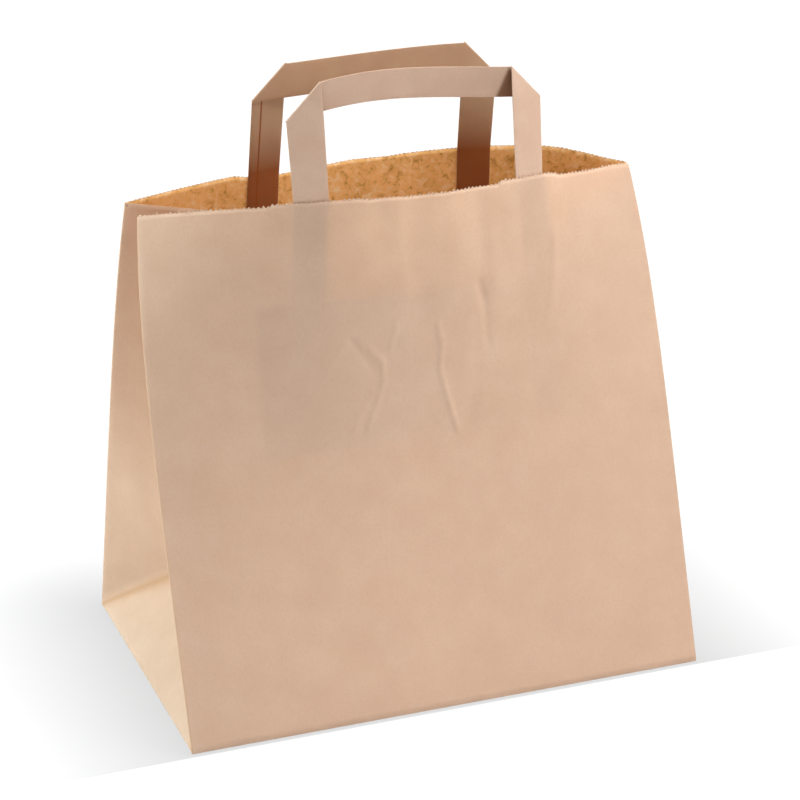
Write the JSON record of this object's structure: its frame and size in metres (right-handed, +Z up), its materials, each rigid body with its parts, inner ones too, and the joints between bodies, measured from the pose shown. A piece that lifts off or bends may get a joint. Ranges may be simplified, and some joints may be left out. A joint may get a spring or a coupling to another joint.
{
  "type": "paper carrier bag",
  "caption": "Kraft paper carrier bag with folded side gussets, a block base and a flat folded paper handle glued inside each of its broad walls.",
  "frame": {"origin": "on the underside, in the middle of the base", "axes": "+Z up towards the handles, +X along the broad front wall, +Y from the front wall to the rear wall, across the gussets"},
  "size_m": [0.2612, 0.1708, 0.3016],
  "materials": {
    "kraft_paper": "uncoated brown kraft, matt, with faint ribs and fibres",
    "handle_paper": "uncoated brown kraft folded into a flat strip, matt",
    "patch_paper": "uncoated brown kraft, matt"
  },
  "bodies": {
    "root": {"bag_body": "kraft_paper", "front_handle": "handle_paper", "rear_handle": "handle_paper", "front_handle_patch": "patch_paper", "rear_handle_patch": "patch_paper"}
  },
  "joints": []
}
